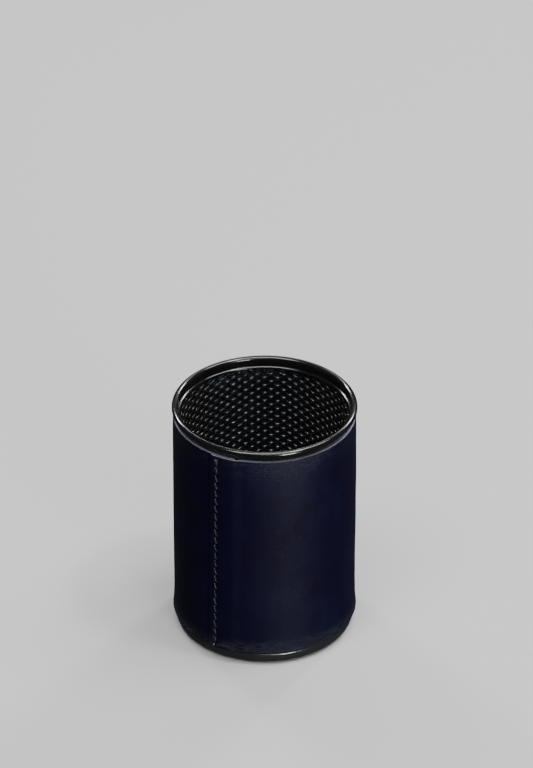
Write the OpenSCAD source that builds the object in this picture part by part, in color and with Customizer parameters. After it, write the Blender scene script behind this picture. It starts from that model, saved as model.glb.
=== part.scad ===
// Round pen holder cup: an expanded-metal cup with a rolled rim and base ring,
// wrapped in a leather sleeve that closes in one lapped, saddle-stitched seam.
// Millimetres, +Z up. The origin is on the cup's axis at the face it stands on; -Y is the front.

/* [Cup] */
// Overall height
cup_height = 110; // [95:0.5:125]
// Outer diameter over the top rim
cup_diameter = 80; // [70:1:100]
// Gauge of the sheet that the rim and the base ring are rolled from
sheet_gauge = 0.4; // [0.3:0.1:0.5]
// Diameter of the bead rolled along the top of the rim
rim_bead = 2.8; // [2.6:0.1:3.2]
// Drop of the rim's outer flange below its crown
outer_flange_drop = 4.5; // [4:0.1:4.6]
// Drop of the rim's inner flange below its crown
inner_flange_drop = 6; // [5:0.1:8]
// Height of the base ring
base_ring_height = 5.5; // [5:0.1:5.6]

/* [Mesh] */
// Thickness of the flattened expanded metal in the wall
mesh_thickness = 0.5; // [0.4:0.1:0.6]
// Thickness of the floor disc
floor_thickness = 0.6; // [0.4:0.1:1]

/* [Leather sleeve] */
// Thickness of the leather
leather_thickness = 1.6; // [1.3:0.1:1.7]
// Thickness that both ends of the leather are pared to where they overlap
pared_thickness = 1.1; // [0.8:0.1:1.2]
// Drop of the sleeve's top edge below the rim's crown
sleeve_top_drop = 4.8; // [4.7:0.1:6]
// Height of the sleeve's lower edge above the table
sleeve_bottom = 6.6; // [5.8:0.1:8]
// Overlap of the two ends of the sleeve, measured round the cup
lap_width = 10.9; // [10:0.1:16]
// Turn of the seam's free edge from the front, clockwise seen from above
seam_turn = 35.8; // [0:0.1:60]

/* [Stitching] */
// Number of stitches in the seam
stitch_count = 24; // [16:1:26]
// Diameter of the thread
thread_diameter = 0.7; // [0.5:0.1:0.8]
// Diameter of the stitch holes
hole_diameter = 1.1; // [1:0.1:1.2]
// Distance from the seam's free edge to the stitch line
stitch_edge = 3.2; // [2.5:0.1:4]
// Distance from the sleeve's edges to the first and the last stitch hole
stitch_end = 1.3; // [1:0.1:3]
// Sideways lean of each stitch from its upper to its lower end
stitch_lean = 0.5; // [0:0.1:0.6]

/* [Hidden] */
$fn = 96;

steel_black = [0.10, 0.10, 0.11];
leather_navy = [0.08, 0.09, 0.22];
thread_navy = [0.05, 0.06, 0.16];

rim_radius = cup_diameter / 2;
rim_inner_radius = rim_radius - rim_bead;
hem_radius = 0.85;

wall_inner_radius = rim_inner_radius + sheet_gauge;
wall_radius = wall_inner_radius + mesh_thickness;
wall_top = cup_height - rim_bead / 2;

base_ring_radius = wall_radius + 1.1;
base_flange_radius = wall_radius - 4;
base_lip_radius = wall_radius + 0.1;
base_shoulder = 0.8;
base_corner = 3.4;
base_corner_radius = base_ring_radius - base_corner;
// The floor disc rests by its edge in the base ring's rounded corner, with this clearance.
floor_clearance = 0.05;
corner_depth = sqrt(pow(base_corner - sheet_gauge, 2) - pow(wall_radius - base_corner_radius, 2));
floor_bottom = base_corner - corner_depth + floor_clearance;
wall_bottom = floor_bottom + floor_thickness;

sleeve_inner_radius = wall_radius + 0.1;
sleeve_radius = sleeve_inner_radius + leather_thickness;
sleeve_top = cup_height - sleeve_top_drop;
sleeve_height = sleeve_top - sleeve_bottom;
lap_gap = 0.1;
under_lap_radius = sleeve_inner_radius + pared_thickness;
lap_inner_radius = under_lap_radius + lap_gap;
lap_radius = lap_inner_radius + pared_thickness;
lap_angle = arc_angle(lap_width, sleeve_radius);
lap_end_turn = seam_turn - lap_angle;
// Clearance in degrees at the hidden end of the leather and beside the free edge.
edge_clearance = 0.3;
// Arc over which the outer layer comes down from the lap to the cup.
ramp_angle = 5;
ramp_steps = 5;
// The ramp runs this many degrees into the walls at both its ends, this far inside their faces.
ramp_join = 1;
ramp_inset = 0.05;

hole_spacing = (sleeve_height - 2 * stitch_end) / stitch_count;
stitch_turn = seam_turn - arc_angle(stitch_edge, lap_radius);
// Groove inside the sleeve that the inner run of thread lies in.
groove_depth = thread_diameter + 0.1;
groove_width = 2 * thread_diameter + stitch_lean;
// The thread passes from face to face along this radius range.
thread_out_radius = lap_radius + thread_diameter / 2;
thread_in_radius = sleeve_inner_radius + thread_diameter / 2 + 0.05;
// Short enough at each end that neighbouring stitches share a hole without meeting.
stitch_length = hole_spacing - 0.2;

// Angle in degrees that an arc of this length takes at this radius.
function arc_angle(length, radius) = length / radius * 180 / PI;

// Places its children on the cup's front, turned clockwise seen from above.
module at_turn(turn) rotate([0, 0, -turn - 90]) children();

// Part of a tube from one turn to another, counted clockwise from the front.
module arc_wall(inner, outer, height, from_turn, to_turn) {
    rotate([0, 0, -to_turn - 90])
        rotate_extrude(angle = to_turn - from_turn, $fn = 180)
            translate([inner, 0]) square([outer - inner, height]);
}

// Tube with a square-edged wall.
module tube(inner, outer, height) {
    rotate_extrude($fn = 180)
        translate([inner, 0]) square([outer - inner, height]);
}

// Disc of expanded metal that closes the bottom.
module mesh_floor() {
    color(steel_black)
        translate([0, 0, floor_bottom]) cylinder(r = wall_radius, h = floor_thickness, $fn = 180);
}

// Wall of expanded metal, as a plain tube over the faces of the mesh.
module mesh_wall() {
    color(steel_black)
        translate([0, 0, wall_bottom]) tube(wall_inner_radius, wall_radius, wall_top - wall_bottom);
}

// Quarter of a band of sheet bent to this outer radius, upwards or (side = -1) downwards.
module bend(radius, side) {
    intersection() {
        difference() {
            circle(r = radius);
            circle(r = radius - sheet_gauge);
        }
        translate([0, side < 0 ? -radius : 0]) square(radius);
    }
}

// Ring that the cup stands on: a foot flange, a rounded corner, and a shoulder turned in to the
// mesh along its upper edge.
module base_ring() {
    shoulder_radius = base_ring_radius - base_shoulder;
    shoulder_height = base_ring_height - base_shoulder;
    color(steel_black) rotate_extrude($fn = 180) {
        translate([base_flange_radius, 0])
            square([base_corner_radius - base_flange_radius, sheet_gauge]);
        translate([base_corner_radius, base_corner]) bend(base_corner, -1);
        translate([base_ring_radius - sheet_gauge, base_corner])
            square([sheet_gauge, shoulder_height - base_corner]);
        translate([shoulder_radius, shoulder_height]) bend(base_shoulder, 1);
        translate([base_lip_radius, base_ring_height - sheet_gauge])
            square([shoulder_radius - base_lip_radius, sheet_gauge]);
    }
}

// Rim rolled over the wall's top edge: a hollow bead on two flanges that grip the mesh,
// the inner one hemmed along its lower edge.
module top_rim() {
    bead_radius = rim_bead / 2;
    color(steel_black) translate([0, 0, cup_height]) rotate_extrude($fn = 180) {
        difference() {
            union() {
                translate([rim_radius - bead_radius, -bead_radius]) circle(r = bead_radius);
                translate([rim_inner_radius, -inner_flange_drop + hem_radius])
                    square([sheet_gauge, inner_flange_drop - hem_radius - bead_radius]);
                translate([wall_radius, -outer_flange_drop])
                    square([sheet_gauge, outer_flange_drop - bead_radius]);
            }
            translate([rim_radius - bead_radius, -bead_radius]) circle(r = bead_radius - sheet_gauge);
            translate([wall_inner_radius, -inner_flange_drop])
                square([mesh_thickness, inner_flange_drop - bead_radius]);
        }
        difference() {
            translate([rim_inner_radius, -inner_flange_drop + hem_radius]) circle(r = hem_radius);
            translate([wall_inner_radius, -inner_flange_drop]) square([hem_radius, 2 * hem_radius]);
        }
    }
}

// Section of the outer layer where it comes down from the lap to the cup.
module sleeve_ramp() {
    function part_way(step) = (1 - cos(180 * step / ramp_steps)) / 2;
    function between(low, high, step) = low + part_way(step) * (high - low);
    function inner(step) = between(sleeve_inner_radius, lap_inner_radius, step) + ramp_inset;
    function outer(step) = between(sleeve_radius, lap_radius, step) - ramp_inset;
    function along(angle) = [cos(angle), -sin(angle)];
    angles = [for (i = [0 : ramp_steps]) ramp_angle * i / ramp_steps];
    at_turn(lap_end_turn - ramp_angle) linear_extrude(sleeve_height) polygon([
        inner(0) * along(-ramp_join),
        for (i = [0 : ramp_steps]) inner(i) * along(angles[i]),
        inner(ramp_steps) * along(ramp_angle + ramp_join),
        outer(ramp_steps) * along(ramp_angle + ramp_join),
        for (i = [ramp_steps : -1 : 0]) outer(i) * along(angles[i]),
        outer(0) * along(-ramp_join)
    ]);
}

// Leather wrapped once round the wall, its outer end lapped over its inner end.
module leather_sleeve() {
    color(leather_navy) translate([0, 0, sleeve_bottom]) difference() {
        union() {
            difference() {
                arc_wall(sleeve_inner_radius, sleeve_radius, sleeve_height,
                         lap_end_turn + edge_clearance, lap_end_turn - ramp_angle + 360);
                translate([0, 0, -1])
                    arc_wall(under_lap_radius, sleeve_radius + 1, sleeve_height + 2,
                             lap_end_turn, seam_turn + edge_clearance);
            }
            arc_wall(lap_inner_radius, lap_radius, sleeve_height, lap_end_turn, seam_turn);
            sleeve_ramp();
        }
        for (i = [0 : stitch_count])
            stitch_place(i) translate([sleeve_inner_radius - 1, 0, 0])
                rotate([0, 90, 0]) cylinder(d = hole_diameter, h = 2 * leather_thickness + 2, $fn = 24);
        at_turn(stitch_turn)
            translate([sleeve_inner_radius - 1, -groove_width / 2, stitch_end - thread_diameter])
                cube([groove_depth + 1, groove_width, sleeve_height - 2 * (stitch_end - thread_diameter)]);
    }
}

// Places its children at one stitch hole, measured from the sleeve's lower edge.
module stitch_place(index) {
    at_turn(stitch_turn) translate([0, 0, stitch_end + index * hole_spacing]) children();
}

// One run of thread between two holes, leaning sideways, on one face of the seam.
module stitch_run(radius, lean) {
    translate([radius, 0, hole_spacing / 2]) rotate([atan(lean / stitch_length), 0, 0])
        cylinder(d = thread_diameter, h = stitch_length, center = true, $fn = 24);
}

// Saddle stitch: runs on both faces of the seam, joined through the holes.
module stitch_thread() {
    color(thread_navy) translate([0, 0, sleeve_bottom]) {
        for (i = [0 : stitch_count - 1]) stitch_place(i) {
            stitch_run(thread_out_radius, stitch_lean);
            stitch_run(thread_in_radius, -stitch_lean);
        }
        for (i = [0 : stitch_count]) stitch_place(i) translate([thread_in_radius, 0, 0])
            rotate([0, 90, 0])
                cylinder(d = thread_diameter - 0.1, h = thread_out_radius - thread_in_radius, $fn = 24);
    }
}

mesh_floor();
mesh_wall();
base_ring();
top_rim();
leather_sleeve();
stitch_thread();
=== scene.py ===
"""Looks of the pen holder cup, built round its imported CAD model.

A cup of black expanded metal with a rolled rim and base ring stands in a navy leather sleeve,
which closes in one lapped, saddle-stitched seam. Metres, +Z up, -Y is the front.
"""
import math
import random

import bmesh
import bpy
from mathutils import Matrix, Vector


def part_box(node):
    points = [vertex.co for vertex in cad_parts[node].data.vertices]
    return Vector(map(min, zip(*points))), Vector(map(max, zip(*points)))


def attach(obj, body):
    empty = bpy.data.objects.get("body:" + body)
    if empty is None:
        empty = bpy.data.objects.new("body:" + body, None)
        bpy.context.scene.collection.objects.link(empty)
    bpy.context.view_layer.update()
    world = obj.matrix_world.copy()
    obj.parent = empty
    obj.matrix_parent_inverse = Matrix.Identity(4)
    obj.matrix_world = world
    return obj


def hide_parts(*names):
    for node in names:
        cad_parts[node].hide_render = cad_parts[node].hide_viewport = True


MM = 0.001

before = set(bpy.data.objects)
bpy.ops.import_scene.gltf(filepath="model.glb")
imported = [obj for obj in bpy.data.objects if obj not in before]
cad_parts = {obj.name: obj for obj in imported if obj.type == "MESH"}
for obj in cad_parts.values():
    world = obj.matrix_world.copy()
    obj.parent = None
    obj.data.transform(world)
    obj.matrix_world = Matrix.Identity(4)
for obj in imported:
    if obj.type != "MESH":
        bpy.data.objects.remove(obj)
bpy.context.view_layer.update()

# ---------------------------------------------------------------- sizes, from the frame

RIM_LOW, RIM_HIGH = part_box("top_rim")
WALL_LOW, WALL_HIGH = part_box("mesh_wall")
FLOOR_LOW, FLOOR_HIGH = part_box("mesh_floor")
_, RING_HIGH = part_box("base_ring")
SLEEVE_LOW, SLEEVE_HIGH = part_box("leather_sleeve")

CUP_HEIGHT = RIM_HIGH.z
RIM_RADIUS = RIM_HIGH.x
WALL_RADIUS = WALL_HIGH.x
SLEEVE_RADIUS = SLEEVE_HIGH.x
RING_RADIUS = RING_HIGH.x
SLEEVE_BOTTOM = SLEEVE_LOW.z
SLEEVE_TOP = SLEEVE_HIGH.z
SLEEVE_HEIGHT = SLEEVE_TOP - SLEEVE_BOTTOM

# The same as in the CAD model.
SHEET_GAUGE = 0.4 * MM
RIM_BEAD = 2.8 * MM
RIM_HEM = 0.85 * MM
OUTER_FLANGE_DROP = 4.5 * MM
BASE_CORNER = 3.4 * MM
BASE_SHOULDER = 0.8 * MM
BASE_FLANGE_RADIUS = WALL_RADIUS - 4.0 * MM
BASE_LIP_RADIUS = WALL_RADIUS + 0.1 * MM
MESH_THICKNESS = 0.5 * MM
LEATHER_THICKNESS = 1.6 * MM
PARED_THICKNESS = 1.1 * MM
LAP_GAP = 0.1 * MM
LAP_WIDTH = 10.9 * MM
SEAM_TURN = 35.8
RAMP_TURN = 5.0
STITCH_COUNT = 24
STITCH_EDGE = 3.2 * MM
STITCH_END = 1.3 * MM
# Only here: the seam turns this many degrees from its upper to its lower end.
SEAM_SLANT = 2.0

SLEEVE_INNER = SLEEVE_RADIUS - LEATHER_THICKNESS
LAP_INNER = SLEEVE_INNER + PARED_THICKNESS + LAP_GAP
LAP_OUTER = LAP_INNER + PARED_THICKNESS
LAP_TURN = math.degrees(LAP_WIDTH / SLEEVE_RADIUS)
STITCH_TURN = SEAM_TURN - math.degrees(STITCH_EDGE / LAP_OUTER)
STITCH_PITCH = (SLEEVE_HEIGHT - 2 * STITCH_END) / STITCH_COUNT


# ---------------------------------------------------------------- mesh helpers


def make_piece(name, points, faces, materials, face_materials=None, sharp_degrees=40):
    """A mesh object at the origin, with its normals outwards and smooth except at sharp edges."""
    mesh = bpy.data.meshes.new(name)
    mesh.from_pydata([tuple(p) for p in points], [], faces)
    for material in materials:
        mesh.materials.append(material)
    if face_materials:
        mesh.polygons.foreach_set("material_index", face_materials)
    work = bmesh.new()
    work.from_mesh(mesh)
    bmesh.ops.recalc_face_normals(work, faces=work.faces)
    work.to_mesh(mesh)
    work.free()
    mesh.polygons.foreach_set("use_smooth", [True] * len(mesh.polygons))
    mesh.set_sharp_from_angle(angle=math.radians(sharp_degrees))
    piece = bpy.data.objects.new(name, mesh)
    bpy.context.scene.collection.objects.link(piece)
    return piece


def arc(centre, radius, start, end, steps):
    """Points on an arc in the profile plane, from start to end in degrees, both included."""
    angles = [math.radians(start + (end - start) * i / steps) for i in range(steps + 1)]
    return [(centre[0] + radius * math.cos(a), centre[1] + radius * math.sin(a)) for a in angles]


def line(start, end, steps):
    """Points from start to end in the profile plane, without the end itself."""
    return [
        tuple(start[axis] + (end[axis] - start[axis]) * i / steps for axis in (0, 1))
        for i in range(steps)
    ]


def revolve(profile, segments):
    """Points and faces of a closed (radius, height) profile turned about the Z axis."""
    count = len(profile)
    points = []
    for i in range(segments):
        turn = 2 * math.pi * i / segments
        points += [(r * math.cos(turn), r * math.sin(turn), z) for r, z in profile]
    faces = []
    for i in range(segments):
        for k in range(count):
            here, there = i * count, (i + 1) % segments * count
            after = (k + 1) % count
            faces.append((here + k, here + after, there + after, there + k))
    return points, faces


def from_front(turn, radius, height):
    """The point at a turn in degrees from the front, positive towards the left, at a radius."""
    angle = math.radians(-90 - turn)
    return Vector((radius * math.cos(angle), radius * math.sin(angle), height))


def seam_slant(height):
    """Extra turn of the seam at a height: it runs a little off the vertical."""
    return SEAM_SLANT * ((SLEEVE_BOTTOM + SLEEVE_TOP) / 2 - height) / SLEEVE_HEIGHT


def ease(share):
    """A smooth step from 0 to 1."""
    share = min(max(share, 0.0), 1.0)
    return share * share * (3 - 2 * share)


# ---------------------------------------------------------------- material helpers

# A mix node's colour sockets, counted among its sockets of the same names for other kinds of value.
MIX_FIRST, MIX_SECOND, MIX_RESULT = 6, 7, 2


class Nodes:
    """Adds nodes to one material and joins them, so that a material reads as a list of steps."""

    def __init__(self, name):
        self.material = bpy.data.materials.new(name)
        self.material.use_nodes = True
        self.tree = self.material.node_tree
        self.shader = self.tree.nodes["Principled BSDF"]

    def add(self, kind, settings=None, **inputs):
        """A node with its settings and inputs; an input is a value or another node's socket."""
        made = self.tree.nodes.new(kind)
        for key, value in (settings or {}).items():
            setattr(made, key, value)
        for key, value in inputs.items():
            self.put(made.inputs[key.replace("_", " ")], value)
        return made

    def put(self, socket, value):
        """Links another node's socket to this one, or sets this one to a plain value."""
        if isinstance(value, bpy.types.NodeSocket):
            self.tree.links.new(value, socket)
        else:
            socket.default_value = value

    def set(self, **inputs):
        """The inputs of the material's own shader."""
        for key, value in inputs.items():
            self.put(self.shader.inputs[key.replace("_", " ")], value)

    def place(self):
        """The position on the object, in metres."""
        return self.add("ShaderNodeTexCoord").outputs["Object"]

    def stretched(self, vector, scale):
        """The vector scaled axis by axis: a scale below 1 draws a pattern out, above 1 packs it."""
        return self.add("ShaderNodeMapping", Vector=vector, Scale=scale).outputs["Vector"]

    def noise(self, vector, scale, detail=4.0, roughness=0.55):
        """Noise from 0 to 1 with about scale features to a metre."""
        made = self.add(
            "ShaderNodeTexNoise", Vector=vector, Scale=scale, Detail=detail, Roughness=roughness
        )
        return made.outputs["Fac"]

    def ramp(self, factor, stops):
        """A colour ramp of (position, colour) stops."""
        made = self.add("ShaderNodeValToRGB", Fac=factor)
        elements = made.color_ramp.elements
        while len(elements) < len(stops):
            elements.new(0.5)
        for element, (position, colour) in zip(elements, stops):
            element.position = position
            element.color = (*colour, 1.0)
        return made.outputs["Color"]

    def blend(self, factor, first, second):
        """The first colour, going over to the second as the factor goes from 0 to 1."""
        made = self.add("ShaderNodeMix", {"data_type": "RGBA"}, Factor=factor)
        self.put(made.inputs[MIX_FIRST], first)
        self.put(made.inputs[MIX_SECOND], (*second, 1.0))
        return made.outputs[MIX_RESULT]

    def spread(self, factor, low, high, new_low, new_high):
        """The factor's range from low to high, mapped to the range from new_low to new_high."""
        made = self.add(
            "ShaderNodeMapRange",
            Value=factor,
            From_Min=low,
            From_Max=high,
            To_Min=new_low,
            To_Max=new_high,
        )
        return made.outputs["Result"]

    def math(self, operation, first, second=0.0):
        made = self.add("ShaderNodeMath", {"operation": operation})
        self.put(made.inputs[0], first)
        self.put(made.inputs[1], second)
        return made.outputs["Value"]

    def bump(self, height, distance, strength=1.0, normal=None):
        """A bump this many metres deep, on top of another one if its normal is given."""
        made = self.add("ShaderNodeBump", Height=height, Distance=distance, Strength=strength)
        if normal is not None:
            self.put(made.inputs["Normal"], normal)
        return made.outputs["Normal"]


# ---------------------------------------------------------------- materials


def gloss_black_paint(name, colour, roughness, ior=1.55, coat=0.5):
    """Baked gloss paint over steel: slight orange peel, faint smears that dull the shine."""
    nodes = Nodes(name)
    place = nodes.place()
    smears = nodes.noise(place, 60.0, detail=5.0)
    peel = nodes.noise(place, 900.0, detail=2.0)
    nodes.set(
        Base_Color=nodes.ramp(smears, [(0.3, colour), (0.75, [1.5 * c for c in colour])]),
        Roughness=nodes.spread(smears, 0.3, 0.75, roughness, roughness + 0.12),
        Normal=nodes.bump(peel, 0.02 * MM, 0.5),
        IOR=ior,
        Coat_Weight=coat,
        Coat_Roughness=0.06,
    )
    return nodes.material


LEATHER_DYE = [
    (0.30, (0.0040, 0.0010, 0.0140)),
    (0.50, (0.0026, 0.0014, 0.0190)),
    (0.70, (0.0034, 0.0036, 0.0270)),
]
# Pale teal grey of the creases near the edges: partly worn leather, partly a painted sheen of the front
# light.
WORN_AND_SHEEN_LEATHER = (0.011, 0.018, 0.026)
# The leather is rubbed shiny, creased and worn over this height at its lower and upper edges, and its
# creases there are painted pale, partly as wear and partly as a painted sheen. The upper edge gets less
# of this, by this share, and evenly over its last stretch.
BURNISHED_FOOT = 7 * MM
BURNISHED_TOP = 12 * MM
TOP_WEAR_AND_SHEEN = 0.35
TOP_EVEN = 2 * MM


def leather_grain():
    """Smooth dark navy leather: fine grain and pores, long creases, uneven dye. Along its lower and
    upper edges it is burnished, and its creases are pale, partly from wear and partly as a painted
    sheen."""
    nodes = Nodes("navy_leather_grain")
    place = nodes.place()
    height = nodes.add("ShaderNodeSeparateXYZ", Vector=place).outputs["Z"]
    above = nodes.spread(height, SLEEVE_BOTTOM, SLEEVE_BOTTOM + BURNISHED_FOOT, 1.0, 0.0)
    below = nodes.spread(height, SLEEVE_TOP - BURNISHED_TOP, SLEEVE_TOP - TOP_EVEN, 0.0, TOP_WEAR_AND_SHEEN)
    ends = nodes.math("MAXIMUM", above, below)
    cells = nodes.add(
        "ShaderNodeTexVoronoi",
        {"feature": "DISTANCE_TO_EDGE"},
        Vector=place,
        Scale=1500.0,
        Randomness=1.0,
    ).outputs["Distance"]
    grain = nodes.spread(cells, 0.0, 0.25, 0.0, 1.0)
    pores = nodes.noise(place, 2600.0, detail=3.0)
    creases = nodes.noise(nodes.stretched(place, (1.0, 1.0, 5.0)), 150.0, detail=6.0, roughness=0.7)
    off_line = nodes.math("ABSOLUTE", nodes.math("SUBTRACT", creases, 0.5))
    crease_lines = nodes.spread(off_line, 0.0, 0.04, 0.0, 1.0)
    # Where the creases near the edges are painted pale: partly wear, partly painted sheen.
    worn_and_sheen = nodes.math("MULTIPLY", ends, nodes.math("SUBTRACT", 1.0, crease_lines))
    clouds = nodes.noise(place, 45.0, detail=6.0, roughness=0.6)
    streaks = nodes.noise(nodes.stretched(place, (1.0, 1.0, 0.35)), 110.0, detail=5.0)
    uneven = nodes.math("ADD", nodes.math("MULTIPLY", clouds, 0.6), nodes.math("MULTIPLY", streaks, 0.4))
    relief = nodes.bump(grain, 0.035 * MM, 0.55)
    relief = nodes.bump(pores, 0.03 * MM, 0.35, relief)
    relief = nodes.bump(crease_lines, 0.18 * MM, nodes.spread(ends, 0.0, 1.0, 0.06, 1.0), relief)
    nodes.set(
        # The pale crease colour is partly wear and partly a painted sheen.
        Base_Color=nodes.blend(worn_and_sheen, nodes.ramp(uneven, LEATHER_DYE), WORN_AND_SHEEN_LEATHER),
        Roughness=nodes.spread(uneven, 0.3, 0.7, 0.38, 0.52),
        Normal=relief,
        Specular_IOR_Level=0.4,
        Coat_Weight=nodes.spread(ends, 0.0, 1.0, 0.08, 1.0),
        Coat_Roughness=0.27,
    )
    return nodes.material


def leather_edge():
    """Raw cut edge: pale lavender-grey fibres, lightly rubbed smooth."""
    nodes = Nodes("cut_edge")
    place = nodes.place()
    fibres = nodes.noise(place, 1400.0, detail=5.0, roughness=0.7)
    stains = nodes.noise(place, 160.0, detail=4.0)
    mixed = nodes.math("ADD", nodes.math("MULTIPLY", fibres, 0.5), nodes.math("MULTIPLY", stains, 0.5))
    nodes.set(
        Base_Color=nodes.ramp(mixed, [(0.3, (0.16, 0.16, 0.23)), (0.7, (0.40, 0.40, 0.50))]),
        Roughness=0.55,
        Normal=nodes.bump(fibres, 0.12 * MM, 0.6),
        Sheen_Weight=0.2,
        Sheen_Roughness=0.5,
    )
    return nodes.material


def leather_flesh():
    """The suede-like inner face, a duller and much paler blue grey than the grain side."""
    nodes = Nodes("flesh_side")
    place = nodes.place()
    nap = nodes.noise(place, 900.0, detail=6.0, roughness=0.75)
    patches = nodes.noise(place, 120.0, detail=4.0)
    nodes.set(
        Base_Color=nodes.ramp(patches, [(0.3, (0.022, 0.034, 0.060)), (0.7, (0.046, 0.072, 0.115))]),
        Roughness=0.85,
        Normal=nodes.bump(nap, 0.15 * MM, 0.8),
        Sheen_Weight=0.3,
        Sheen_Roughness=0.45,
    )
    return nodes.material


def waxed_thread():
    """Waxed navy thread, a little lighter than the leather, with fine fibres along the plies."""
    nodes = Nodes("waxed_thread")
    place = nodes.place()
    fibres = nodes.noise(nodes.stretched(place, (1.0, 1.0, 0.3)), 4200.0, detail=3.0)
    nodes.set(
        Base_Color=nodes.ramp(fibres, [(0.3, (0.004, 0.004, 0.012)), (0.75, (0.012, 0.012, 0.027))]),
        Roughness=0.36,
        Normal=nodes.bump(fibres, 0.04 * MM, 0.6),
        Sheen_Weight=0.1,
        Sheen_Roughness=0.4,
    )
    return nodes.material


RIM_PAINT = gloss_black_paint("gloss_black_rim", (0.006, 0.0057, 0.0054), 0.10)
# The ring's base colour is lighter than the rim's: a painted reflection of the floor, which the ring
# does not mirror.
RING_PAINT = gloss_black_paint("black_ring_painted_reflection", (0.024, 0.024, 0.025), 0.20, ior=1.9, coat=1.0)
MESH_PAINT = gloss_black_paint("gloss_black_mesh", (0.010, 0.010, 0.010), 0.12, ior=1.7, coat=0.7)


# ---------------------------------------------------------------- rolled rings

RING_SEGMENTS = 256


def make_top_rim():
    """A hollow bead on two flanges that grip the mesh, the inner one hemmed along its lower edge."""
    bead = RIM_BEAD / 2
    hollow = bead - SHEET_GAUGE
    lip = SHEET_GAUGE / 2
    hem_tip = 0.1 * MM
    centre = (RIM_RADIUS - bead, CUP_HEIGHT - bead)
    inner_face = RIM_RADIUS - RIM_BEAD
    mesh_inner = WALL_RADIUS - MESH_THICKNESS
    outer_low = CUP_HEIGHT - OUTER_FLANGE_DROP
    inner_low = RIM_LOW.z
    # Where the bead's underside meets the outer flange, and its hollow meets the two flanges.
    under = -math.degrees(math.acos((WALL_RADIUS + SHEET_GAUGE - centre[0]) / bead))
    hollow_outer = -math.degrees(math.acos((WALL_RADIUS - centre[0]) / hollow))
    hollow_inner = -math.degrees(math.acos((mesh_inner - centre[0]) / hollow))
    profile = (
        arc((WALL_RADIUS + lip, outer_low + lip), lip, 180, 360, 6)
        + arc(centre, bead, under, 180, 36)
        + line((inner_face, centre[1]), (inner_face, inner_low + 2 * RIM_HEM), 4)[1:]
        + arc((inner_face, inner_low + RIM_HEM), RIM_HEM, 90, 270, 16)
        + [(mesh_inner, inner_low + hem_tip)]
        + arc(centre, hollow, 360 + hollow_inner, hollow_outer, 16)
    )
    points, faces = revolve(profile, RING_SEGMENTS)
    return make_piece("rolled_top_rim", points, faces, [RIM_PAINT])


def make_base_ring():
    """Foot flange, rounded corner, wall, and a shoulder turned in to the mesh along the top."""
    corner_centre = (RING_RADIUS - BASE_CORNER, BASE_CORNER)
    shoulder_centre = (RING_RADIUS - BASE_SHOULDER, RING_HIGH.z - BASE_SHOULDER)
    profile = (
        [(BASE_FLANGE_RADIUS, 0.0)]
        + arc(corner_centre, BASE_CORNER, 270, 360, 16)
        + arc(shoulder_centre, BASE_SHOULDER, 0, 90, 12)
        + [(BASE_LIP_RADIUS, RING_HIGH.z), (BASE_LIP_RADIUS, RING_HIGH.z - SHEET_GAUGE)]
        + arc(shoulder_centre, BASE_SHOULDER - SHEET_GAUGE, 90, 0, 8)
        + arc(corner_centre, BASE_CORNER - SHEET_GAUGE, 360, 270, 12)
        + [(BASE_FLANGE_RADIUS, SHEET_GAUGE)]
    )
    points, faces = revolve(profile, RING_SEGMENTS)
    return make_piece("rolled_base_ring", points, faces, [RING_PAINT])


# ---------------------------------------------------------------- expanded metal

CELLS_ROUND = 41
CELL_WIDTH = 2 * math.pi * (WALL_RADIUS - MESH_THICKNESS / 2) / CELLS_ROUND
CELL_HEIGHT = 4.0 * MM
SIDE_STEPS = 3
HOLE_WIDTH = CELL_WIDTH - 2.0 * MM
HOLE_HEIGHT = CELL_HEIGHT - 1.5 * MM
# 1 is a true diamond and 2 an ellipse.
HOLE_ROUNDNESS = 1.35
# Relief of the mesh towards the side that shows: the knots, the middle line of the strands, and
# the lower edge of each strand, which leans out so that the strands face upwards.
KNOT_RISE = 0.75
STRAND_RISE = 0.45
STRAND_LEAN = 1.0
WALL_RELIEF = 0.8 * MM
FLOOR_RELIEF = 0.3 * MM
# Uncut height along the wall's foot, up to just above the leather's lower edge, and uncut width
# round the floor.
WALL_MARGIN = 5.0 * MM
FLOOR_MARGIN = 1.6 * MM
# How far an uncut margin runs in under the cells beside it.
WALL_OVERLAP = 0.1 * MM
FLOOR_OVERLAP = 0.3 * MM
# Points closer than this are one point.
SAME_PLACE = 1e-7


def diamond_cell(centre):
    """The outer corners and the hole of one cell, as matching loops of (x, y, share of relief)."""
    across, up = CELL_WIDTH / 2, CELL_HEIGHT / 2
    corners = [(across, 0.0), (0.0, up), (-across, 0.0), (0.0, -up)]
    outside = []
    for i, corner in enumerate(corners):
        after = corners[(i + 1) % len(corners)]
        for step in range(SIDE_STEPS):
            share = step / SIDE_STEPS
            x = corner[0] + (after[0] - corner[0]) * share
            y = corner[1] + (after[1] - corner[1]) * share
            outside.append((centre[0] + x, centre[1] + y, STRAND_RISE if step else KNOT_RISE))
    hole = []
    count = len(outside)
    for i in range(count):
        angle = 2 * math.pi * i / count
        cosine, sine = math.cos(angle), math.sin(angle)
        reach = (abs(cosine) ** HOLE_ROUNDNESS + abs(sine) ** HOLE_ROUNDNESS) ** (-1 / HOLE_ROUNDNESS)
        x = centre[0] + HOLE_WIDTH / 2 * reach * cosine
        y = centre[1] + HOLE_HEIGHT / 2 * reach * sine
        hole.append((x, y, STRAND_LEAN * (sine + 1) / 2))
    return outside, hole


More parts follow.
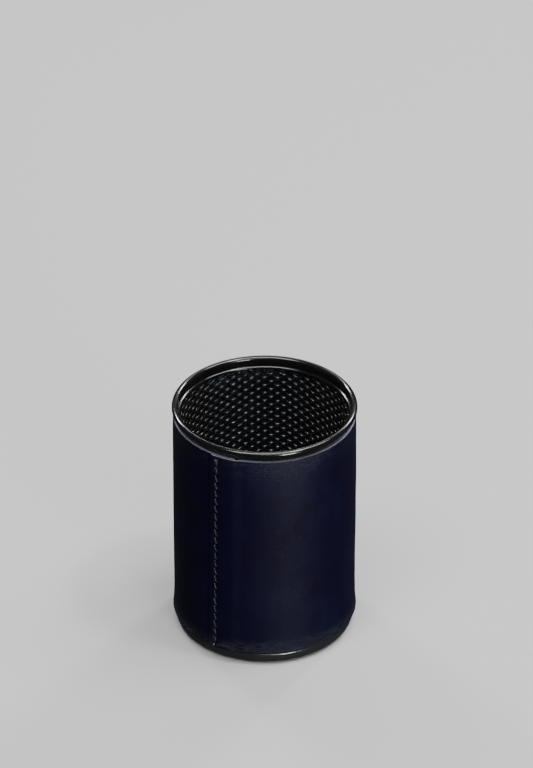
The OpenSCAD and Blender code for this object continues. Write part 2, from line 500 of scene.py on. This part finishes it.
def diamond_sheet(centres, limit, relief, wrap=None):
    """Flat points (x, y, rise) and faces of joined cells. limit trims a point to the sheet's edge
    and says whether it did; wrap is the length after which x starts again."""
    points, faces, index, trimmed = [], [], {}, []

    def number(point):
        x, y, rise = point
        (x, y), cut = limit(x, y)
        turned = x % wrap if wrap else x
        if wrap and wrap - turned < SAME_PLACE:
            turned = 0.0
        key = (round(turned / SAME_PLACE), round(y / SAME_PLACE))
        if key not in index:
            index[key] = len(points)
            points.append((turned, y, relief * rise))
            trimmed.append(cut)
        return index[key]

    for centre in centres:
        outside, hole = diamond_cell(centre)
        outer = [number(p) for p in outside]
        inner = [number(p) for p in hole]
        count = len(outer)
        for i in range(count):
            after = (i + 1) % count
            corners = list(dict.fromkeys((outer[i], outer[after], inner[after], inner[i])))
            if len(corners) > 2 and not all(trimmed[c] for c in corners):
                faces.append(tuple(corners))
    return points, faces


def thicken(points, faces, place, thickness):
    """Both faces of a flat sheet and the walls along all its edges. place(x, y, depth) puts a
    point in space, depth being measured from the side that shows."""
    count = len(points)
    solid = [place(x, y, -rise) for x, y, rise in points]
    solid += [place(x, y, thickness - rise) for x, y, rise in points]
    made = list(faces) + [tuple(c + count for c in reversed(face)) for face in faces]
    seen = {}
    for face in faces:
        for a, b in zip(face, face[1:] + face[:1]):
            seen[(a, b)] = seen.get((a, b), 0) + 1
    for a, b in seen:
        if (b, a) not in seen:
            made.append((b, a, a + count, b + count))
    return solid, made


def joined(*parts):
    """One list of points and one of faces from several pairs of them."""
    points, faces = [], []
    for part_points, part_faces in parts:
        start = len(points)
        points += part_points
        faces += [tuple(c + start for c in face) for face in part_faces]
    return points, faces


def ring_band(inner, outer, low, high):
    """A plain closed ring of rectangular section, for a sheet's uncut margin."""
    return revolve([(inner, low), (outer, low), (outer, high), (inner, high)], 4 * CELLS_ROUND)


def make_mesh_wall():
    """Expanded metal rolled into a tube, uncut along its foot and where the rim grips it."""
    low, high = WALL_LOW.z + WALL_MARGIN, RIM_LOW.z
    inner = WALL_RADIUS - MESH_THICKNESS
    length = 2 * math.pi * (WALL_RADIUS - MESH_THICKNESS / 2)
    rows = math.ceil((high - low) / (CELL_HEIGHT / 2)) + 1
    centres = [
        ((column + row % 2 / 2) * CELL_WIDTH, low + row * CELL_HEIGHT / 2)
        for row in range(rows)
        for column in range(CELLS_ROUND)
    ]

    def limit(x, y):
        kept = min(max(y, low), high)
        return (x, kept), kept != y

    def place(x, y, depth):
        return from_front(-360 * x / length, inner + depth, y)

    flat_points, flat_faces = diamond_sheet(centres, limit, WALL_RELIEF, wrap=length)
    sheet = thicken(flat_points, flat_faces, place, MESH_THICKNESS)
    points, faces = joined(
        sheet,
        ring_band(inner, WALL_RADIUS, WALL_LOW.z, low + WALL_OVERLAP),
        ring_band(inner, WALL_RADIUS, high - WALL_OVERLAP, WALL_HIGH.z),
    )
    return make_piece("expanded_metal_wall", points, faces, [MESH_PAINT], sharp_degrees=180)


def make_mesh_floor():
    """Disc of the same mesh, with an uncut margin where the wall stands on it."""
    open_radius = WALL_RADIUS - FLOOR_MARGIN
    across = math.ceil(open_radius / CELL_WIDTH) + 1
    along = math.ceil(2 * open_radius / CELL_HEIGHT) + 1
    centres = [
        ((column + row % 2 / 2) * CELL_WIDTH, row * CELL_HEIGHT / 2)
        for row in range(-along, along + 1)
        for column in range(-across, across + 1)
    ]
    reach = open_radius + CELL_WIDTH / 2
    centres = [c for c in centres if math.hypot(*c) < reach]

    def limit(x, y):
        radius = math.hypot(x, y)
        if radius <= open_radius:
            return (x, y), False
        return (x * open_radius / radius, y * open_radius / radius), True

    def place(x, y, depth):
        return Vector((x, y, FLOOR_HIGH.z - FLOOR_RELIEF - depth))

    flat_points, flat_faces = diamond_sheet(centres, limit, FLOOR_RELIEF)
    sheet = thicken(flat_points, flat_faces, place, FLOOR_HIGH.z - FLOOR_LOW.z - FLOOR_RELIEF)
    points, faces = joined(
        sheet, ring_band(open_radius - FLOOR_OVERLAP, WALL_RADIUS, FLOOR_LOW.z, FLOOR_HIGH.z)
    )
    return make_piece("expanded_metal_floor", points, faces, [MESH_PAINT], sharp_degrees=180)


# ---------------------------------------------------------------- leather sleeve

# The columns of the mesh lie closest together at the stitches.
FINEST_STEP = 0.16 * MM
WIDEST_STEP = 2.0 * MM
STEP_GROWTH = 0.35
ROWS_PER_STITCH = 12
EDGE_ROUND = 0.15 * MM
EDGE_STEPS = 3
# Each stitch hole is a slanted slit, deepest in its middle. It fades out where the formula of its
# ellipse, which is 1 on the outline, reaches SLIT_FADE.
SLIT_LENGTH = 2.2 * MM
SLIT_WIDTH = 1.0 * MM
SLIT_DEPTH = 0.9 * MM
SLIT_SLANT = -40.0
SLIT_FADE = 1.6
# The thread pulls the leather in round each hole, and by a share of that all along the line.
PULL_DEPTH = 0.25 * MM
PULL_REACH = 0.9 * MM
LINE_PULL = 0.4
# The leather stands off a little at its lower edge, and is tucked in under the rim.
FOOT_FLARE = 0.6 * MM
FOOT_FLARE_REACH = 3.5 * MM
TOP_TUCK = 0.4 * MM
TOP_TUCK_REACH = 5 * MM


def sleeve_length():
    """Length of the leather strip along its outer face, from the free edge to the hidden end."""
    return math.radians(360 + LAP_TURN) * SLEEVE_RADIUS


def graded(start, end, centre):
    """Places from start to end that lie closest together near the centre."""
    places = [start]
    while places[-1] < end:
        beyond = max(0.0, abs(places[-1] - centre) - SLIT_LENGTH / 2)
        places.append(places[-1] + min(WIDEST_STEP, FINEST_STEP + STEP_GROWTH * beyond))
    scale = (end - start) / (places[-1] - start)
    return [start + (p - start) * scale for p in places]


def with_edges(start, inside, end):
    """The places inside, with the steps of a rounded edge before and after them."""
    steps = [EDGE_ROUND * i / EDGE_STEPS for i in range(EDGE_STEPS)]
    return [start + step for step in steps] + inside + [end - step for step in reversed(steps)]


def leather_section(along):
    """Turn, inner radius and outer radius of the strip at a distance from its free edge."""
    turn = SEAM_TURN - math.degrees(along / SLEEVE_RADIUS)
    lap_share = 1 - ease((SEAM_TURN - LAP_TURN - turn) / RAMP_TURN)
    inner = SLEEVE_INNER + (LAP_INNER - SLEEVE_INNER) * lap_share
    outer = SLEEVE_RADIUS + (LAP_OUTER - SLEEVE_RADIUS) * lap_share
    if turn < SEAM_TURN - 360:
        outer = SLEEVE_INNER + PARED_THICKNESS
    return turn, inner, outer


def edge_fall(distance):
    """How far a face lies back at this distance from a rounded edge."""
    if distance >= EDGE_ROUND:
        return 0.0
    share = 1 - distance / EDGE_ROUND
    return EDGE_ROUND * (1 - math.sqrt(1 - share * share))


def make_waves(seed, count, longest, shortest, height):
    """A few random waves over the sleeve: (frequency round, frequency up, phase, height)."""
    source = random.Random(seed)
    waves = []
    for _ in range(count):
        length = source.uniform(shortest, longest)
        heading = source.uniform(0, 2 * math.pi)
        waves.append(
            (
                2 * math.pi * math.cos(heading) / length,
                2 * math.pi * math.sin(heading) / length,
                source.uniform(0, 2 * math.pi),
                height * length / longest,
            )
        )
    return waves


LEATHER_WAVES = make_waves(seed=7, count=14, longest=60 * MM, shortest=9 * MM, height=0.035 * MM)


def stitch_hollow(away, above):
    """Depth of the slit and of the leather pulled in at a distance from the line of stitches."""
    if abs(away) >= 4 * PULL_REACH:
        return 0.0
    nearest = round((above - STITCH_END) / STITCH_PITCH)
    nearest = min(max(nearest, 0), STITCH_COUNT)
    up = above - STITCH_END - nearest * STITCH_PITCH
    line_pull = LINE_PULL * PULL_DEPTH * math.exp(-((away / PULL_REACH) ** 2))
    hole_pull = PULL_DEPTH * math.exp(-(away**2 + up**2) / PULL_REACH**2)
    slant = math.radians(SLIT_SLANT)
    along_slit = up * math.cos(slant) - away * math.sin(slant)
    across_slit = up * math.sin(slant) + away * math.cos(slant)
    inside = (2 * along_slit / SLIT_LENGTH) ** 2 + (2 * across_slit / SLIT_WIDTH) ** 2
    return line_pull + hole_pull + SLIT_DEPTH * (1 - ease(inside / SLIT_FADE))


def leather_relief(along, height):
    """How far the leather's outer face stands off its section, in metres."""
    above = height - SLEEVE_BOTTOM
    below = SLEEVE_TOP - height
    waves = sum(h * math.sin(a * along + b * height + phase) for a, b, phase, h in LEATHER_WAVES)
    flare = FOOT_FLARE * math.exp(-above / FOOT_FLARE_REACH)
    tuck = TOP_TUCK * math.exp(-below / TOP_TUCK_REACH)
    return waves + flare - tuck - stitch_hollow(along - STITCH_EDGE, above)


def make_sleeve():
    """The leather strip, wrapped once round the wall, its outer end lapped over its inner end."""
    length = sleeve_length()
    columns = with_edges(0.0, graded(EDGE_ROUND, length - EDGE_ROUND, STITCH_EDGE), length)
    inside_rows = STITCH_COUNT * ROWS_PER_STITCH
    rise = (SLEEVE_HEIGHT - 2 * EDGE_ROUND) / inside_rows
    rows = [SLEEVE_BOTTOM + EDGE_ROUND + rise * i for i in range(inside_rows + 1)]
    rows = with_edges(SLEEVE_BOTTOM, rows, SLEEVE_TOP)
    outer_points, inner_points = [], []
    for along in columns:
        turn, inner, outer = leather_section(along)
        hidden = turn < SEAM_TURN - 360
        for height in rows:
            fall = edge_fall(min(along, length - along))
            fall = max(fall, edge_fall(min(height - SLEEVE_BOTTOM, SLEEVE_TOP - height)))
            relief = 0.0 if hidden else leather_relief(along, height)
            slanted = turn + seam_slant(height)
            outer_points.append(from_front(slanted, outer + relief - fall, height))
            inner_points.append(from_front(slanted, inner, height))
    tall, wide = len(rows), len(columns)
    count = tall * wide
    faces, looks = [], []
    grain, edge, flesh = range(3)

    def add(face, look):
        faces.append(face)
        looks.append(look)

    for i in range(wide - 1):
        for k in range(tall - 1):
            a, b = i * tall + k, (i + 1) * tall + k
            add((a, b, b + 1, a + 1), grain)
            add((count + a + 1, count + b + 1, count + b, count + a), flesh)
        for k in (0, tall - 1):
            a, b = i * tall + k, (i + 1) * tall + k
            add((a, b, count + b, count + a), edge)
    for i in (0, wide - 1):
        for k in range(tall - 1):
            a = i * tall + k
            add((a, a + 1, count + a + 1, count + a), edge)
    materials = [leather_grain(), leather_edge(), leather_flesh()]
    return make_piece("leather_wrap", outer_points + inner_points, faces, materials, looks)


# ---------------------------------------------------------------- stitching

THREAD_RADIUS = 0.42 * MM
THREAD_SIDES = 15
THREAD_RINGS = 22
PLIES = 3
PLY_DEPTH = 0.13
PLY_TURNS = 1.6
STITCH_LEAN = 1.6 * MM
LEAN_SPREAD = 0.15
SWAY = 0.06 * MM
# A run stops this far from the middle of its hole, where it has dipped into the leather and thinned.
RUN_GAP = 0.25 * MM
DIP = 1.0 * MM
DIP_POWER = 2.6
THINNING = 0.18
THINNING_POWER = 3
# Height of a run's middle over the leather's faces, in thread radii.
OUTSIDE_RISE = 0.4
INSIDE_RISE = 0.2
# How many stitches are doubled at each end of the seam, how far their two runs lie from the middle,
# in thread radii, and the second run's extra height and share of the lean.
BACK_STITCHES = 2
DOUBLED_APART = 0.55
DOUBLED_RISE = 0.1 * MM
DOUBLED_LEAN = 0.4


def thread_run(low_height, radius, lean, sideways, sink, phase):
    """One run of twisted thread from a hole to the next one up, dipping into both."""
    points, faces = [], []
    low, high = low_height + RUN_GAP, low_height + STITCH_PITCH - RUN_GAP
    for ring in range(THREAD_RINGS + 1):
        share = ring / THREAD_RINGS
        middle = 2 * share - 1
        height = low + (high - low) * share
        off = sideways + lean * (share - 0.5)
        depth = sink * abs(middle) ** DIP_POWER
        swell = 1 - THINNING * abs(middle) ** THINNING_POWER
        turn = STITCH_TURN + seam_slant(height) + math.degrees(off / radius)
        centre = from_front(turn, radius - depth, height)
        out = from_front(turn, 1, 0)
        side = from_front(turn + 90, 1, 0)
        for k in range(THREAD_SIDES):
            angle = 2 * math.pi * k / THREAD_SIDES
            ply = 1 + PLY_DEPTH * math.cos(PLIES * (angle - 2 * math.pi * PLY_TURNS * share) + phase)
            size = THREAD_RADIUS * swell * ply
            points.append(centre + out * (size * math.cos(angle)) + side * (size * math.sin(angle)))
    for ring in range(THREAD_RINGS):
        for k in range(THREAD_SIDES):
            a, b = ring * THREAD_SIDES + k, ring * THREAD_SIDES + (k + 1) % THREAD_SIDES
            faces.append((a, b, b + THREAD_SIDES, a + THREAD_SIDES))
    faces.append(tuple(reversed(range(THREAD_SIDES))))
    faces.append(tuple(THREAD_RINGS * THREAD_SIDES + k for k in range(THREAD_SIDES)))
    return points, faces


def make_thread():
    """Saddle stitch on both faces of the seam, doubled where it is back-stitched at the ends."""
    source = random.Random(11)
    runs = []
    outside = LAP_OUTER + OUTSIDE_RISE * THREAD_RADIUS
    inside = SLEEVE_INNER + INSIDE_RISE * THREAD_RADIUS
    for i in range(STITCH_COUNT):
        low = SLEEVE_BOTTOM + STITCH_END + i * STITCH_PITCH
        phase = source.uniform(0, 2 * math.pi)
        sway = source.uniform(-SWAY, SWAY)
        lean = STITCH_LEAN * source.uniform(1 - LEAN_SPREAD, 1 + LEAN_SPREAD)
        doubled = min(i, STITCH_COUNT - 1 - i) < BACK_STITCHES
        apart = DOUBLED_APART * THREAD_RADIUS if doubled else 0.0
        runs.append(thread_run(low, outside, lean, sway + apart, DIP, phase))
        if doubled:
            over, less_lean = outside + DOUBLED_RISE, DOUBLED_LEAN * lean
            runs.append(thread_run(low, over, less_lean, sway - apart, DIP, phase + 1))
        runs.append(thread_run(low, inside, -lean, 0.0, 0.0, phase))
    points, faces = joined(*runs)
    return make_piece("seam_thread", points, faces, [waxed_thread()], sharp_degrees=60)


# ---------------------------------------------------------------- build

rim = make_top_rim()
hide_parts("top_rim")

ring = make_base_ring()
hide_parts("base_ring")

wall = make_mesh_wall()
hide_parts("mesh_wall")

floor_disc = make_mesh_floor()
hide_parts("mesh_floor")

sleeve = make_sleeve()
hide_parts("leather_sleeve")

thread = make_thread()
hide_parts("stitch_thread")

for piece in (rim, ring, wall, floor_disc, sleeve, thread):
    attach(piece, "root")

# ---------------------------------------------------------------- stage, light and camera

VIEW_ELEVATION = 33.9
VIEW_DISTANCE = 1.952
VIEW_LENS = 209.6
# The cup stands below and a hair left of the picture's middle.
VIEW_RAISE = 1.608
VIEW_ASIDE = 0.83 * MM
SENSOR_WIDTH = 36.0
STAGE_HALF = 6.0
WORLD_COLOUR = (0.035, 0.035, 0.037, 1.0)
# Name, turn and elevation in degrees, distance and size in metres, and power in watts.
SOFTBOXES = [
    ("overhead", -30, 80, 1.6, (2.4, 0.6), 36.0),
    ("front_right", -27, 5, 1.3, (0.36, 0.3), 10.0),
    ("back_strip", 180, 42, 1.8, (2.6, 0.12), 9.0),
    ("back_left", 145, 36, 1.6, (0.25, 0.25), 7.0),
    ("back_right", -145, 36, 1.6, (0.25, 0.25), 7.0),
    ("side_right", -65, 66, 1.6, (0.2, 0.2), 6.0),
    ("front_high", -20, 42, 1.6, (1.1, 0.08), 3.2),
]


def make_stage():
    """A wide plain floor, pale and matt, which the cup neither mirrors nor is lit by."""
    nodes = Nodes("pale_floor")
    nodes.set(Base_Color=(0.60, 0.60, 0.61, 1.0), Roughness=0.9, Specular_IOR_Level=0.1)
    mesh = bpy.data.meshes.new("floor")
    half = STAGE_HALF
    corners = [(-half, -half, 0), (half, -half, 0), (half, half, 0), (-half, half, 0)]
    mesh.from_pydata(corners, [], [(0, 1, 2, 3)])
    mesh.materials.append(nodes.material)
    floor = bpy.data.objects.new("floor", mesh)
    bpy.context.scene.collection.objects.link(floor)
    floor.visible_glossy = False
    floor.visible_diffuse = False


def add_softbox(name, turn, elevation, distance, size, power):
    """An area light aimed at the cup. turn is from the front, positive towards the left."""
    data = bpy.data.lights.new(name, "AREA")
    data.shape = "RECTANGLE"
    data.size, data.size_y = size
    data.energy = power
    lamp = bpy.data.objects.new(name, data)
    bpy.context.scene.collection.objects.link(lamp)
    centre = Vector((0, 0, CUP_HEIGHT / 2))
    flat = distance * math.cos(math.radians(elevation))
    lamp.location = from_front(turn, flat, distance * math.sin(math.radians(elevation))) + centre
    lamp.rotation_euler = (centre - lamp.location).to_track_quat("-Z", "Y").to_euler()


def make_light():
    """A dim even world and the softboxes."""
    world = bpy.data.worlds.new("studio")
    bpy.context.scene.world = world
    world.use_nodes = True
    world.node_tree.nodes["Background"].inputs["Color"].default_value = WORLD_COLOUR
    for softbox in SOFTBOXES:
        add_softbox(*softbox)


def make_camera():
    """A long lens at the front, looking down on the cup."""
    data = bpy.data.cameras.new("camera")
    data.lens = VIEW_LENS
    data.sensor_width = SENSOR_WIDTH
    camera = bpy.data.objects.new("camera", data)
    bpy.context.scene.collection.objects.link(camera)
    elevation = math.radians(VIEW_ELEVATION)
    camera.location = (
        VIEW_ASIDE,
        -VIEW_DISTANCE * math.cos(elevation),
        CUP_HEIGHT / 2 + VIEW_DISTANCE * math.sin(elevation),
    )
    camera.rotation_euler = (math.radians(90 - VIEW_ELEVATION + VIEW_RAISE), 0, 0)
    bpy.context.scene.camera = camera


make_stage()
make_light()
make_camera()
